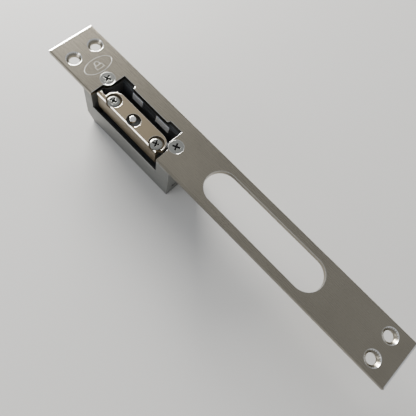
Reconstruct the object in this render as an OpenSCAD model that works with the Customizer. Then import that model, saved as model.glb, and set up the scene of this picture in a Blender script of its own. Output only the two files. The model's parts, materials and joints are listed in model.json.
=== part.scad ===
// Electric door strike with a long flat faceplate, an adjustable swing keeper and a deadbolt slot.
// Millimetres. +X runs along the faceplate towards the deadbolt slot, -Y is the side the door opens to,
// +Z points out of the face. The origin is on the back of the housing, under the middle of the faceplate.

/* [Faceplate] */
// Length of the faceplate
plate_l = 250; // [245:1:320]
// Width of the faceplate
plate_w = 30; // [25:0.5:40]
// Thickness of the faceplate
plate_t = 3; // [2.5:0.1:4]
// Distance of the fixing holes from each end
end_inset = 12.7; // [8:0.1:16]
// Spacing of the two fixing holes across the plate
end_pitch = 15.3; // [11:0.1:19]
// Diameter of the fixing holes
end_hole_d = 6; // [4:0.1:6.5]
// Diameter of their countersinks at the face
end_sink_d = 9; // [7:0.1:9.5]
// Middle of the deadbolt slot, from the middle of the plate
bolt_x = 31; // [28:0.5:40]
// Length of the deadbolt slot
bolt_slot_l = 82; // [50:1:98]
// Width of the deadbolt slot
bolt_slot_w = 20; // [14:0.5:21]

/* [Latch opening] */
// Middle of the latch opening, from the middle of the plate
latch_x = -62; // [-66:0.5:-62]
// Length of the opening along the front edge of the plate
open_l = 53.4; // [53:0.1:55]
// Distance of its straight back edge from the front edge of the plate
open_back = 20; // [19.4:0.1:20.4]
// Length of each notch in the back edge
ear_l = 9.8; // [6:0.1:12]
// Depth of each notch in the back edge
ear_d = 1.9; // [1:0.1:2]
// Spacing of the two screws that hold the housing
screw_pitch = 56.5; // [56.5:0.1:58]
// Distance of these screws from the front edge of the plate
screw_in = 13.3; // [13:0.1:13.6]
// Thread diameter of these screws
screw_d = 4; // [3:0.1:4]
// Head diameter of these screws
screw_head_d = 8.4; // [6.5:0.1:8.6]
// Radius of the metal left around each of these screws
boss_r = 4.55; // [4.4:0.05:4.8]

/* [Housing] */
// Middle of the housing, from the middle of the plate
body_x = -60.3; // [-61:0.1:-60]
// Length of the housing
body_l = 70.5; // [70:0.5:90]
// Width of the housing, from the front edge of the plate
body_w = 24; // [23.4:0.1:28]
// Depth of the housing behind the plate
body_d = 28; // [26:0.5:36]
// Wall thickness
wall = 1.6; // [1.2:0.1:1.8]
// Chamfer along the lower left corner
heel = 4.8; // [2:0.1:5.5]
// Lower edge of the front cut, below the face
front_drop = 14.5; // [14.3:0.1:15]
// Thickness of the back cover
cover_t = 1.2; // [0.8:0.1:1.5]
// Thread diameter of the cover screws
cover_screw_d = 2.5; // [2:0.1:3]

/* [Keeper] */
// Length of the front wall of the keeper
keeper_l = 48.7; // [44:0.1:49]
// Distance of its front face from the front edge of the plate
keeper_in = 2.7; // [2.6:0.1:3.2]
// Depth of the keeper from front to back
keeper_d = 10.5; // [9.8:0.1:10.8]
// Top of the keeper, below the face
keeper_drop = 0.6; // [0.4:0.1:1]
// Height of the front wall
keeper_h = 12.4; // [10:0.1:12.6]
// Thickness of the front wall
keeper_wall = 1.7; // [1.2:0.1:1.8]
// Thickness of the top flange, with its lip
keeper_t = 4; // [3.6:0.1:4.4]
// Spacing of the two keeper screws
keeper_pitch = 34.9; // [30:0.1:35.5]
// Head diameter of the keeper screws
keeper_head_d = 7; // [6:0.1:7.2]
// Thread diameter of the keeper screws
keeper_screw_d = 3; // [2.5:0.1:3]
// Diameter of the counterbores in the keeper
keeper_bore_d = 9.2; // [8.8:0.1:9.4]
// Diameter of the locating pin
pin_d = 4.2; // [3:0.1:4.4]
// Outward travel of the keeper when its screws are loose
adjust = 1; // [0.4:0.1:1]
// Diameter of the keeper axle
axle_d = 3; // [2.5:0.1:3]
// Distance of the axle from the front edge of the plate
axle_in = 11.1; // [11:0.1:11.3]
// Depth of the axle below the face
axle_drop = 8; // [7.9:0.1:8.1]

/* [Release] */
// Diameter of the lever axle
lever_axle_d = 2; // [1.5:0.1:2.2]
// Distance of the lever axle from the middle of the cam
lever_arm = 18.2; // [17:0.1:19]
// Width of the lever
lever_w = 4; // [3:0.1:4.4]
// Diameter of the magnet core
core_d = 3.6; // [3:0.1:4]
// Length of the coil bobbin
bobbin_l = 15.8; // [12:0.1:16]
// Diameter of the armature axle
armature_axle_d = 1.2; // [1:0.1:1.4]

/* [Clearances] */
// Radial clearance of a turning fit
run_gap = 0.05; // [0.03:0.01:0.08]
// Radial clearance of a fixed pin or screw in its hole
seat_gap = 0.04; // [0.02:0.01:0.08]
// Gap between pieces that move past each other
move_gap = 0.3; // [0.2:0.05:0.35]
// Gap between pieces that rest on each other
rest_gap = 0.1; // [0.05:0.05:0.2]

/* [Hidden] */
$fn = 64;
cut = 1;                                    // how far a cutting shape runs past the piece
face_z = body_d + plate_t;                  // the face of the plate
edge_y = -plate_w / 2;                      // the front edge of the plate

// Latch opening
open_half = open_l / 2;
screw_x = screw_pitch / 2;
screw_y = edge_y + screw_in;
narrow_half = screw_x - boss_r;             // half length of the opening behind the bosses
open_fillet = 2;
back_y = edge_y + open_back;
ear_y = back_y + ear_d;

// Housing
body_x0 = body_x - body_l / 2;
body_x1 = body_x + body_l / 2;
body_y1 = edge_y + body_w;
cheek_x0 = latch_x - open_half;
cheek_x1 = latch_x + open_half;
pocket_y1 = ear_y + 0.2;                    // back of the pocket that holds the liner
front_z = face_z - front_drop;
front_land = 0.5;                           // flat top of the front wall below the cut
front_bevel = 1.1;                          // bevel behind it, clear of the swinging keeper
floor_top = face_z - 19.1;                  // top of the liner floor
floor_t = 1;
chamber_z1 = floor_top - floor_t;           // ceiling of the magnet chamber
back_wall = 1.8;                            // thickness of the housing's wall at +Y
screw_tip_z = face_z - 6;                   // tips of the plate screws

// Keeper, seen from the end: y and z of the axle, then the pieces around it
axle_y = edge_y + axle_in;
axle_z = face_z - axle_drop;
axle_r = axle_d / 2;
keeper_x0 = cheek_x0 + 1.1;
keeper_x1 = keeper_x0 + keeper_l;
keeper_y0 = edge_y + keeper_in;
keeper_y1 = keeper_y0 + keeper_d;
keeper_z1 = face_z - keeper_drop;
keeper_z0 = keeper_z1 - keeper_h;
flange_z0 = keeper_z1 - keeper_t;
lip_rise = 0.5;                             // height of the lip over the flange, and bevel of its front edge
flange_z1 = keeper_z1 - lip_rise;           // top of the flange
lip_edge = 0.2;                             // bevel of the lip's back edge
keeper_corner = 0.9;                        // chamfer of the keeper's left corners
bar_w = 2.8;                                // width of the bar at the left end of the lip
bore_y = keeper_y0 + 4.3;                   // middles of the counterbores
bore_x0 = latch_x + 1.95 - keeper_pitch / 2;
bore_x1 = latch_x + 1.95 + keeper_pitch / 2;
bore_floor = 1.4;                           // metal left under each counterbore
flange_end = 5.2;                           // metal beyond the middle of each counterbore
flange_x0 = bore_x0 - flange_end;
flange_x1 = bore_x1 + flange_end;
flange_r = 6.4;                             // rounding of the flange's back corners
keeper_screw_y = bore_y - 0.4;
keeper_head_h = 2.2;
keeper_screw_l = 6.2;
pin_x = latch_x - 0.4;
pin_y = bore_y + 0.4;
pin_hole_w = 8.6;
pin_hole_h = 8;
pin_hole_x = pin_x + 1.2;

// Carrier and its cam, whose radius grows evenly with the angle
carrier_x0 = flange_x0 + 0.3;
carrier_x1 = keeper_x1 - 0.3;
carrier_z1 = flange_z0 - rest_gap;
carrier_y0 = keeper_y0 + keeper_wall + move_gap;
foot_z1 = keeper_z0 - move_gap;
foot_y0 = keeper_y0 + move_gap;
sweep_y1 = axle_y + 8;                      // furthest back the foot of the carrier swings
hub_x0 = latch_x - narrow_half + move_gap;
hub_x1 = latch_x + narrow_half - move_gap;
hub_r = 3.1;
cam_r = 7.2;                                // radius straight under the axle
cam_rise = 2.9;                             // growth of the radius, mm per radian
cam_w = lever_w + 0.4;
cam_x = flange_x0 + 1.7;                    // middle of the cam
spring_x = latch_x + 9;                     // middle of the keeper spring
spring_w = 5.6;
spring_wire = 0.5;

// Locking lever
lever_x = cam_x + lever_arm;
lever_z = cover_t + 5.8;
lever_r = lever_axle_d / 2;
lever_h = 3;
lever_spring_x = cam_x + 6;
lever_bay = lever_w / 2 + 0.3;              // half width of the room for the lever in the yoke
nose_z = axle_z - cam_r - move_gap;
tail_l = 5.6;
tail_z1 = lever_z + 2;
catch_slope = 65.5;                         // angle of the catch faces from the plate's direction
catch_down = [cos(catch_slope), -sin(catch_slope)];
catch_low = [lever_x + tail_l, lever_z - 0.4];  // lower end of the lever's catch face

// Electromagnet, laid along X on the centre line of the keeper axle
magnet_y = axle_y;
yoke_t = 1;
yoke_z0 = cover_t + rest_gap;
yoke_z1 = yoke_z0 + yoke_t;
bobbin_s = chamber_z1 - yoke_z1 - 3 * rest_gap;
magnet_z = yoke_z1 + rest_gap + bobbin_s / 2;
armature_t = 1.4;
armature_x1 = lever_x + tail_l + 2.5;       // face of the armature towards the core
air_gap = 0.8;
core_x0 = armature_x1 + air_gap;
bobbin_x0 = core_x0 + 0.7;
bobbin_x1 = bobbin_x0 + bobbin_l;
yoke_x1 = bobbin_x1 + rest_gap + 1.4;
yoke_end_t = 1.4;
yoke_w = bobbin_s;
yoke_x0 = lever_x - 4;
flange_t = 1;
barrel_r = 2.2;
armature_r = armature_axle_d / 2;
armature_barrel = 1.1;
armature_axle_x = armature_x1 - armature_t / 2;
armature_axle_z = yoke_z1 + 0.2 + armature_barrel;
armature_w = 7;
armature_z1 = chamber_z1 - move_gap;
ear_t = 0.9;
spring_in = 1.4;                            // armature spring, from the bobbin's corner

// Terminals
lead_r = 0.45;
lead_y = bobbin_s / 2 + lead_r + 0.1;       // coil leads beside the end of the yoke, from the centre line
lead_z = magnet_z + 2;
block_x0 = yoke_x1 + 0.4;
block_x1 = body_x1 - wall - rest_gap;
block_y0 = edge_y + wall + rest_gap;
block_y1 = body_y1 - back_wall - rest_gap;
block_z0 = cover_t + rest_gap;
block_z1 = chamber_z1 - rest_gap;
pole_y = 5.9;                               // distance of each terminal from the centre line
pole_x = (block_x0 + block_x1) / 2;
wire_z = magnet_z - 0.4;
wire_d = 2.6;
cage = [1.9, 1.8, 2];                       // half sizes of the room for each clamp

// Cover and its screws
head_rim = 0.4;                             // straight rim of a countersunk head
column_r = cover_screw_d / 2 + 1.25;        // columns that take the cover screws
cover_gap = 0.15;
cover_x0 = body_x0 + heel + 0.9;
cover_x1 = body_x1 - wall;
cover_screw_x0 = cheek_x0 + 1.5;
cover_screw_x1 = pole_x;
cover_head_d = cover_screw_d + 2 * (cover_t - head_rim - 0.1);
cover_screw_l = 6;

function arc2(c, r, a0, a1, n = 8) =
    [for (i = [0:n]) c + r * [cos(a0 + (a1 - a0) * i / n), sin(a0 + (a1 - a0) * i / n)]];
function unit(v) = v / norm(v);

// One end of the latch opening, from the front edge to the notch, for the end at +X
function open_end() =
    let (f_dx = screw_x - (open_half - open_fillet),
         f_dy = sqrt(pow(boss_r + open_fillet, 2) - pow(f_dx, 2)),
         f = [open_half - open_fillet, screw_y - f_dy],
         turn = atan2(f_dy, f_dx))
    concat([[open_half, edge_y - cut]],
           arc2(f, open_fillet, 0, turn),
           arc2([screw_x, screw_y], boss_r, 180 + turn, 180),
           [[narrow_half, ear_y], [narrow_half - ear_l + 0.7, ear_y], [narrow_half - ear_l, back_y]]);

// Outline of the latch opening, about its own middle
function open_outline() =
    let (e = open_end())
    concat(e, [for (i = [len(e) - 1:-1:0]) [-e[i][0], e[i][1]]]);

// A round wire along a path; side is any direction that the path never runs along
module wire(path, r, side, sides = 8) {
    n = len(path);
    rings = [for (i = [0:n - 1])
        let (t = unit(path[min(i + 1, n - 1)] - path[max(i - 1, 0)]),
             u = unit(cross(t, side)),
             v = cross(t, u))
        for (j = [0:sides - 1]) path[i] + r * (cos(j * 360 / sides) * u + sin(j * 360 / sides) * v)];
    walls = [for (i = [0:n - 2], j = [0:sides - 1])
        let (k = (j + 1) % sides)
        [i * sides + j, (i + 1) * sides + j, (i + 1) * sides + k, i * sides + k]];
    caps = [[for (j = [0:sides - 1]) j], [for (j = [sides - 1:-1:0]) (n - 1) * sides + j]];
    polyhedron(points = rings, faces = concat(walls, caps), convexity = 8);
}

// Points of a helix about X that starts at angle a0
function helix_x(c, r, l, turns, a0, steps = 14) =
    [for (i = [0:turns * steps])
        let (a = a0 + i * 360 / steps)
        c + [i * l / (turns * steps), r * cos(a), r * sin(a)]];

// A cylinder along X or Y that starts at a point
module along_x(p, l, r) translate(p) rotate([0, 90, 0]) cylinder(h = l, r = r);
module along_y(p, l, r) translate(p) rotate([-90, 0, 0]) cylinder(h = l, r = r);

// An outline of [y, z] points drawn along X, one of [x, z] points along Y and one of [x, y] points along Z
module solid_x(x0, x1, points)
    translate([x0, 0, 0]) rotate([90, 0, 90]) linear_extrude(x1 - x0) polygon(points);
module solid_y(y0, y1, points)
    translate([0, y1, 0]) rotate([90, 0, 0]) linear_extrude(y1 - y0) polygon(points);
module solid_z(z0, z1, points) translate([0, 0, z0]) linear_extrude(z1 - z0) polygon(points);
module block(a, b) translate(a) cube(b - a);

// The cross recess of a screw head, cut down from z = 0
module cross_recess(l, w, depth) {
    for (turn = [0, 90])
        rotate([0, 0, turn + 28])
            translate([-l / 2, -w / 2, -depth])
                cube([l, w, depth + cut]);
}

// A countersunk screw whose head is flush with z = 0
module countersunk(head_d, d, l, recess) {
    lead = (head_d - d) / 2;
    difference() {
        union() {
            translate([0, 0, -head_rim])
                cylinder(h = head_rim, r = head_d / 2);
            translate([0, 0, -head_rim - lead])
                cylinder(h = lead, r1 = d / 2, r2 = head_d / 2);
            translate([0, 0, -l])
                cylinder(h = l - head_rim - lead, r = d / 2);
        }
        cross_recess(recess, recess * 0.24, 1.3);
    }
}

// The hole that takes such a screw, with clearance all round
module countersunk_hole(head_d, d, depth, gap) {
    lead = (head_d - d) / 2;
    translate([0, 0, -head_rim - gap])
        cylinder(h = head_rim + gap + cut, r = head_d / 2 + gap);
    translate([0, 0, -head_rim - gap - lead])
        cylinder(h = lead, r1 = d / 2 + gap, r2 = head_d / 2 + gap);
    translate([0, 0, -depth])
        cylinder(h = depth, r = d / 2 + gap);
}

module strike_plate() color("#8f8a7d") {
    sink = (end_sink_d - end_hole_d) / 2;
    difference() {
        block([-plate_l / 2, edge_y, body_d], [plate_l / 2, -edge_y, face_z]);
        // fixing holes, two at each end
        for (sx = [-1, 1], sy = [-1, 1]) translate([sx * (plate_l / 2 - end_inset), sy * end_pitch / 2, 0]) {
            translate([0, 0, body_d - cut])
                cylinder(h = plate_t + 2 * cut, r = end_hole_d / 2);
            translate([0, 0, face_z - sink])
                cylinder(h = sink, r1 = end_hole_d / 2, r2 = end_sink_d / 2);
            translate([0, 0, face_z])
                cylinder(h = cut, r = end_sink_d / 2);
        }
        // deadbolt slot
        for (side = [-1, 1])
            translate([bolt_x + side * (bolt_slot_l - bolt_slot_w) / 2, 0, body_d - cut])
                cylinder(h = plate_t + 2 * cut, r = bolt_slot_w / 2);
        block([bolt_x - (bolt_slot_l - bolt_slot_w) / 2, -bolt_slot_w / 2, body_d - cut],
              [bolt_x + (bolt_slot_l - bolt_slot_w) / 2, bolt_slot_w / 2, face_z + cut]);
        // latch opening
        translate([latch_x, 0, body_d - cut])
            linear_extrude(plate_t + 2 * cut)
                polygon(open_outline());
        for (side = [-1, 1])
            translate([latch_x + side * screw_x, screw_y, face_z])
                countersunk_hole(screw_head_d, screw_d, plate_t + cut, seat_gap);
    }
}

module plate_screws() color("#d5d3cc") {
    for (side = [-1, 1])
        translate([latch_x + side * screw_x, screw_y, face_z])
            countersunk(screw_head_d, screw_d, face_z - screw_tip_z, 4.6);
}

module housing() color("#85867f") {
    in_x0 = body_x0 + wall;
    in_x1 = body_x1 - wall;
    in_y0 = edge_y + wall;
    in_y1 = body_y1 - back_wall;
    difference() {
        solid_y(edge_y, body_y1, [[body_x0, body_d], [body_x0, heel], [body_x0 + heel, 0],
                                  [body_x1, 0], [body_x1, body_d]]);
        // chamber for the magnet, with columns left for the cover screws
        difference() {
            solid_y(in_y0, in_y1, [[in_x0, chamber_z1], [in_x0, heel + 0.7], [in_x0 + heel - 0.7, cover_t],
                                   [in_x1, cover_t], [in_x1, chamber_z1]]);
            for (x = [cover_screw_x0, cover_screw_x1])
                translate([x, magnet_y, 0])
                    cylinder(h = body_d, r = column_r);
        }
        // seat of the back cover
        block([cover_x0, in_y0, -cut], [cover_x1, in_y1, cover_t]);
        // pocket of the keeper and of the liner
        translate([latch_x, 0, chamber_z1 - rest_gap]) linear_extrude(body_d) polygon(open_outline());
        block([latch_x - narrow_half, in_y0, chamber_z1 - rest_gap],
              [latch_x + narrow_half, pocket_y1, body_d + cut]);
        // room under the bosses for the ends of the swinging keeper
        block([cheek_x0, in_y0, floor_top], [cheek_x1, sweep_y1, keeper_z0 + 1.5]);
        // threads of the plate screws and bores of the axle and cover screws
        for (side = [-1, 1])
            translate([latch_x + side * screw_x, screw_y, screw_tip_z - 0.2])
                cylinder(h = body_d, r = screw_d / 2 + seat_gap);
        along_x([cheek_x0 - 1.5, axle_y, axle_z], cheek_x1 - cheek_x0 + 3, axle_r + seat_gap);
        for (x = [cover_screw_x0, cover_screw_x1])
            translate([x, magnet_y, -cut])
                cylinder(h = cover_screw_l + cut + 1, r = cover_screw_d / 2 + seat_gap);
        // wire entries in the end wall
        for (side = [-1, 1])
            along_x([in_x1 - cut, magnet_y + side * pole_y, wire_z], wall + 2 * cut, wire_d / 2);
    }
    front_wall();
}

// The strip of front wall below the cut, with its inner edge bevelled clear of the keeper
module front_wall() {
    in_y0 = edge_y + wall;
    solid_x(cheek_x0, cheek_x1, [[edge_y, chamber_z1 - rest_gap], [edge_y, front_z],
                                 [edge_y + front_land, front_z],
                                 [in_y0, front_z - front_bevel], [in_y0, chamber_z1 - rest_gap]]);
}

module back_cover() color("#a3a49f") {
    difference() {
        block([cover_x0 + cover_gap, edge_y + wall + cover_gap, 0],
              [cover_x1 - cover_gap, body_y1 - back_wall - cover_gap, cover_t]);
        for (x = [cover_screw_x0, cover_screw_x1])
            translate([x, magnet_y, 0])
                mirror([0, 0, 1])
                    countersunk_hole(cover_head_d, cover_screw_d, cover_t + cut, seat_gap);
        // access to the terminal screws
        for (side = [-1, 1])
            translate([pole_x, magnet_y + side * pole_y, -cut])
                cylinder(h = cover_t + 2 * cut, r = 2.3);
    }
}

module cover_screws() color("#cfcdc6") {
    for (x = [cover_screw_x0, cover_screw_x1])
        translate([x, magnet_y, 0])
            mirror([0, 0, 1])
                countersunk(cover_head_d, cover_screw_d, cover_screw_l, 2.8);
}

module cavity_liner() color("#1e2124") {
    x0 = latch_x - narrow_half + rest_gap;
    x1 = latch_x + narrow_half - rest_gap;
    back_y0 = back_y + 0.2;
    difference() {
        union() {
            // floor over the magnet chamber
            block([x0, edge_y + wall + rest_gap, chamber_z1], [x1, pocket_y1 - rest_gap, floor_top]);
            // back wall of the latch pocket
            block([x0, back_y0, chamber_z1], [x1, pocket_y1 - rest_gap, body_d - rest_gap]);
            // rib between the guide strips
            block([latch_x - 6, back_y0 - 0.9, floor_top], [latch_x + 5, back_y0 + cut, body_d - 4]);
        }
        // way through for the nose of the lever
        block([cam_x - lever_w / 2 - 1.7, magnet_y - lever_w / 2 - 0.5, chamber_z1 - cut],
              [cam_x + lever_w / 2 + 0.7, magnet_y + lever_w / 2 + 0.5, floor_top + cut]);
        // ledge along the top of the back wall
        block([x0 - cut, back_y0 - cut, body_d - 1], [x1 + cut, back_y0 + 0.7, body_d + cut]);
        // slots for the leg of the keeper spring
        block([spring_x - spring_w / 2, keeper_y1 + 0.6, floor_top - 0.5],
              [spring_x + spring_w / 2, keeper_y1 + 1.8, floor_top + cut]);
    }
}

module guide_strips() color("#b9bdc0") {
    strip_z1 = body_d - 1.4;
    strip_z0 = strip_z1 - 4.6;
    strip_t = 0.45;
    strip_lean = 0.5;
    strip_y1 = back_y + 0.2;
    for (x = [[latch_x - 14.4, latch_x - 6.2], [latch_x + 5.2, latch_x + 15.6]])
        solid_x(x[0], x[1], [[strip_y1 - strip_lean, strip_z0], [strip_y1, strip_z1 - 0.6], [strip_y1, strip_z1],
                             [strip_y1 - strip_t, strip_z1], [strip_y1 - strip_t - strip_lean, strip_z0]]);
}

// A point of the carrier's end view, given from the axle
function at_axle(y, z) = [axle_y + y, axle_z + z];
function cam_point(a) =
    let (r = cam_r + cam_rise * max(0, 270 - a) * PI / 180)
    at_axle(r * cos(a), r * sin(a));

module keeper_carrier() color("#7d7f80") {
    web_a = 245;                            // the web meets the cam's curve at this angle
    foot_a = 216;                           // and the foot ends at this one
    web = [at_axle(-3, -3.6), cam_point(web_a)];
    foot_curve = [for (a = [web_a:-4:foot_a]) cam_point(a)];
    difference() {
        union() {
            solid_x(carrier_x0, carrier_x1, [
                [carrier_y0, carrier_z1], [keeper_y1, carrier_z1], [keeper_y1, axle_z - 2.4],
                [axle_y + 1, axle_z - hub_r], web[0], web[1],
                [carrier_y0, cam_point(230)[1] + 0.4], [carrier_y0, foot_z1]]);
            // foot under the front wall of the keeper
            solid_x(keeper_x0 + move_gap, carrier_x1, concat(
                [[foot_y0, foot_z1], [carrier_y0 + 2.4, foot_z1], web[1]], foot_curve,
                [[foot_y0, foot_z1 - 0.4]]));
            along_x([hub_x0, axle_y, axle_z], hub_x1 - hub_x0, hub_r);
            // cam over the nose of the lever
            solid_x(cam_x - cam_w / 2, cam_x + cam_w / 2, concat(
                [at_axle(2.6, 0), at_axle(2.6, -6.6)], [for (a = [285:-4:web_a - 8]) cam_point(a)],
                [web[0]]));
        }
        along_x([hub_x0 - cut, axle_y, axle_z], hub_x1 - hub_x0 + 2 * cut, axle_r + run_gap);
        // pocket of the return spring, open to the back and below
        along_x([spring_x - spring_w / 2, axle_y, axle_z], spring_w, 3.2);
        block([spring_x - spring_w / 2, axle_y, axle_z - 12], [spring_x + spring_w / 2, keeper_y1 + cut, axle_z]);
        // threads of the keeper screws and seat of the pin
        for (x = [bore_x0, bore_x1])
            translate([x, keeper_screw_y, carrier_z1 - keeper_screw_l])
                cylinder(h = keeper_screw_l + cut, r = keeper_screw_d / 2 + seat_gap);
        translate([pin_x, pin_y, carrier_z1 - 4.2])
            cylinder(h = 6, r = pin_d / 2 + seat_gap);
    }
}

// Outline of the keeper from above
function keeper_outline() = concat(
    [[keeper_x0, keeper_y0 + keeper_corner], [keeper_x0 + keeper_corner, keeper_y0], [keeper_x1, keeper_y0],
     [keeper_x1, keeper_y0 + bar_w], [flange_x1, keeper_y0 + bar_w + 1]],
    arc2([flange_x1 - flange_r, keeper_y1 - flange_r], flange_r, 0, 90, 12),
    arc2([flange_x0 + flange_r, keeper_y1 - flange_r], flange_r, 90, 180, 12),
    [[flange_x0, keeper_y0 + bar_w], [keeper_x0 + keeper_corner, keeper_y0 + bar_w],
     [keeper_x0, keeper_y0 + bar_w - keeper_corner]]);

module keeper_face() color("#a89a84") {
    slot_r = keeper_screw_d / 2 + 0.25;
    slot_end = 0.1;                         // room left at each end of the screws' travel
    difference() {
        union() {
            translate([0, 0, flange_z0])
                linear_extrude(flange_z1 - flange_z0)
                    polygon(keeper_outline());
            // lip and front wall
            solid_x(keeper_x0 + keeper_corner, keeper_x1, [
                [keeper_y0, keeper_z0], [keeper_y0 + keeper_wall, keeper_z0],
                [keeper_y0 + keeper_wall, keeper_z1 - lip_edge],
                [keeper_y0 + keeper_wall - lip_edge, keeper_z1], [keeper_y0 + lip_rise, keeper_z1],
                [keeper_y0, keeper_z1 - lip_rise]]);
            solid_z(keeper_z0, flange_z1, [
                [keeper_x0, keeper_y0 + keeper_corner], [keeper_x0 + keeper_corner, keeper_y0],
                [keeper_x1, keeper_y0],
                [keeper_x1, keeper_y0 + keeper_wall], [keeper_x0, keeper_y0 + keeper_wall]]);
        }
        // counterbores and, in their floors, slots for the screws
        for (x = [bore_x0, bore_x1]) {
            translate([x, bore_y, flange_z0 + bore_floor])
                cylinder(h = keeper_t + cut, r = keeper_bore_d / 2);
            for (y = [keeper_screw_y + adjust + slot_end, keeper_screw_y - slot_end])
                translate([x, y, flange_z0 - cut])
                    cylinder(h = keeper_t, r = slot_r);
            block([x - slot_r, keeper_screw_y - slot_end, flange_z0 - cut],
                  [x + slot_r, keeper_screw_y + adjust + slot_end, flange_z0 + bore_floor + cut]);
        }
        // wide hole around the locating pin
        for (side = [-1, 1])
            translate([pin_hole_x + side * (pin_hole_w - pin_hole_h) / 2, bore_y, flange_z0 - cut])
                cylinder(h = keeper_t + 2 * cut, r = pin_hole_h / 2);
    }
}

module keeper_screws() color("#cdcbc3") {
    seat_z = flange_z0 + bore_floor + rest_gap / 2;
    for (x = [bore_x0, bore_x1]) translate([x, keeper_screw_y, seat_z])
        difference() {
            union() {
                cylinder(h = keeper_head_h - 0.5, r = keeper_head_d / 2);
                translate([0, 0, keeper_head_h - 0.5])
                    cylinder(h = 0.5, r1 = keeper_head_d / 2, r2 = keeper_head_d / 2 - 0.8);
                translate([0, 0, -keeper_screw_l])
                    cylinder(h = keeper_screw_l + 0.1, r = keeper_screw_d / 2);
            }
            translate([0, 0, keeper_head_h])
                cross_recess(4.2, 1, 1.4);
        }
}

module keeper_pin() color("#d8d6cf") {
    pin_z0 = carrier_z1 - 4;
    pin_z1 = flange_z1;
    translate([pin_x, pin_y, 0])
        rotate_extrude()
            polygon(concat([[0, pin_z0], [pin_d / 2, pin_z0], [pin_d / 2, pin_z1 - 0.9]],
                           arc2([pin_d / 2 - 0.9, pin_z1 - 0.9], 0.9, 0, 90, 6), [[0, pin_z1]]));
}

module keeper_axle() color("#b8bab8")
    along_x([cheek_x0 - 1.4, axle_y, axle_z], cheek_x1 - cheek_x0 + 2.8, axle_r);

module keeper_spring() color("#c9ccce") {
    coil_r = axle_r + 0.55 + spring_wire / 2;
    turns = 5;
    coil_l = spring_w - 1.4;
    x0 = spring_x - coil_l / 2;
    coil = helix_x([x0, axle_y, axle_z], coil_r, coil_l, turns, 0);
    leg_down = [[x0, axle_y + coil_r, axle_z - 9.6], [x0, axle_y + coil_r, axle_z - 5]];
    leg_up = [[x0 + coil_l, axle_y + coil_r, axle_z + 1.2]];
    wire(concat(leg_down, coil, leg_up), spring_wire / 2, [1, 0, 0]);
}

module locking_lever() color("#9a9c9d") {
    y0 = magnet_y - lever_w / 2;
    y1 = magnet_y + lever_w / 2;
    arm_z0 = lever_z - lever_h / 2;
    arm_z1 = lever_z + lever_h / 2;
    nose_y0 = magnet_y - 0.2;
    nose_z0 = lever_z + 0.4;
    difference() {
        union() {
            solid_y(y0, y1, [[cam_x - 2.2, nose_z0], [cam_x + 4, arm_z0],
                             [lever_x - 2.5, arm_z0], [lever_x, arm_z0 - 1],
                             catch_low - [0.6, 1], catch_low,
                             catch_low - catch_down * (tail_z1 - catch_low[1]) / sin(catch_slope),
                             [lever_x - 2.5, tail_z1], [lever_x - 4, arm_z1], [cam_x - 2.2, arm_z1]]);
            // nose under the cam
            block([cam_x - lever_w / 2, nose_y0, nose_z0], [cam_x + lever_w / 2, y1, nose_z]);
        }
        along_y([lever_x, y0 - cut, lever_z], lever_w + 2 * cut, lever_r + run_gap);
        // seat of the return spring
        translate([lever_spring_x, magnet_y, arm_z0 - cut])
            cylinder(h = cut + 0.5, r = 1.9);
    }
}

module lever_axle() color("#c4c6c6")
    along_y([lever_x, magnet_y - lever_w / 2 - 1.6, lever_z], lever_w + 3.2, lever_r);

module lever_spring() color("#c9ccce") {
    z0 = cover_t + rest_gap + 0.25;
    z1 = lever_z - lever_h / 2 + 0.5 - rest_gap - 0.25;
    turns = 4;
    steps = 14;
    r = 1.4;
    path = [for (i = [0:turns * steps])
        let (a = i * 360 / steps)
        [lever_spring_x + r * cos(a), magnet_y + r * sin(a), z0 + (z1 - z0) * i / (turns * steps)]];
    wire(path, 0.22, [0, 0, 1]);
}

module armature() color("#8b8d90") {
    y0 = magnet_y - armature_w / 2;
    x0 = armature_x1 - armature_t;
    face = catch_low + move_gap * [sin(catch_slope), cos(catch_slope)];
    hook_z1 = tail_z1 + 1.1;
    hook_top = face - catch_down * (tail_z1 + 0.1 - face[1]) / sin(catch_slope);
    hook_low = face - catch_down * (tail_z1 - 1.4 - face[1]) / sin(catch_slope);
    difference() {
        union() {
            block([x0, y0, armature_axle_z], [armature_x1, y0 + armature_w, armature_z1]);
            along_y([armature_axle_x, y0, armature_axle_z], armature_w, armature_barrel);
            solid_y(magnet_y - lever_w / 2, magnet_y + lever_w / 2,
                    [hook_top, hook_low, [x0 + 0.1, hook_low[1]], [x0 + 0.1, hook_z1],
                     [hook_top[0], hook_z1]]);
        }
        along_y([armature_axle_x, y0 - cut, armature_axle_z], armature_w + 2 * cut, armature_r + run_gap);
    }
}

module armature_axle() color("#c4c6c6")
    along_y([armature_axle_x, magnet_y - armature_w / 2 - 1.1, armature_axle_z], armature_w + 2.2, armature_r);

module armature_spring() color("#c9ccce") {
    x0 = armature_x1 + rest_gap;
    x1 = bobbin_x0 + 0.55;
    path = helix_x([x0 + 0.15, magnet_y - bobbin_s / 2 + spring_in, magnet_z + bobbin_s / 2 - spring_in],
                   0.65, x1 - x0 - 0.3, 3, 0, 12);
    wire(path, 0.14, [1, 0, 0], 6);
}

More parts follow.
